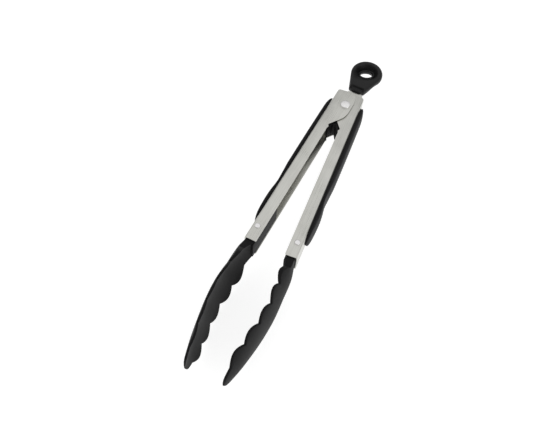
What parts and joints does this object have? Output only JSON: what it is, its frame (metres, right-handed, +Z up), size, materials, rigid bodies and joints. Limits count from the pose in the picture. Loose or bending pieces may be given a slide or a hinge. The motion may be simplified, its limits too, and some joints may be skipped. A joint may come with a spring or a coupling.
{
  "type": "kitchen tongs",
  "caption": "Spring loaded kitchen tongs: two riveted steel channel arms with soft grips, scalloped nylon scoop heads and a pull-tab lock with a hanging hole.",
  "frame": {"origin": "middle of the underside of the object's box, the tongs lying on one side", "axes": "+Z up along the pivot axis, +Y towards the pull tab and -Y towards the tips, the arms open along X with the outer arm on -X"},
  "size_m": [0.0411, 0.2715, 0.0419],
  "materials": {
    "outer_channel_steel": "brushed along the arm, satin",
    "inner_channel_steel": "brushed along the arm, satin",
    "rivet_steel": "bright domed heads",
    "spring_steel": "drawn wire",
    "lock_plate_steel": "satin strip",
    "washer_steel": "plain",
    "head_nylon": "moulded nylon, satin",
    "grip_rubber": "soft matt elastomer",
    "tab_nylon": "moulded nylon, satin",
    "black_nylon": "moulded nylon"
  },
  "bodies": {
    "outer_arm": {"outer_arm_channel": "outer_channel_steel", "outer_head": "head_nylon", "outer_head_rivet": "rivet_steel", "outer_grip_base": "black_nylon", "outer_grip_skin": "grip_rubber", "outer_grip_washer_1": "washer_steel", "outer_grip_washer_2": "washer_steel", "outer_grip_washer_3": "washer_steel", "pivot_rivet": "rivet_steel", "pivot_washer": "rivet_steel", "upper_spring_bush": "black_nylon", "lower_spring_bush": "black_nylon", "torsion_spring": "spring_steel"},
    "inner_arm": {"inner_arm_channel": "inner_channel_steel", "inner_head": "head_nylon", "inner_head_rivet": "rivet_steel", "inner_grip_base": "black_nylon", "inner_grip_skin": "grip_rubber", "inner_grip_washer_1": "washer_steel", "inner_grip_washer_2": "washer_steel", "inner_grip_washer_3": "washer_steel"},
    "lock": {"lock_slide": "lock_plate_steel", "lock_block": "black_nylon", "pull_tab": "tab_nylon"}
  },
  "joints": [
    {"name": "arms_open", "type": "hinge", "parent": "outer_arm", "child": "inner_arm", "pos_m": [0, 0.0819, 0.02098], "axis": [0, 0, 1], "range_deg": [-5.7, 16], "stiffness_Nm_per_rad": 0.8, "deforming": ["torsion_spring"]},
    {"name": "lock_pull", "type": "slide", "parent": "outer_arm", "child": "lock", "axis": [-0.0558, -0.9984, 0], "range_m": [-0.0075, 0]}
  ]
}
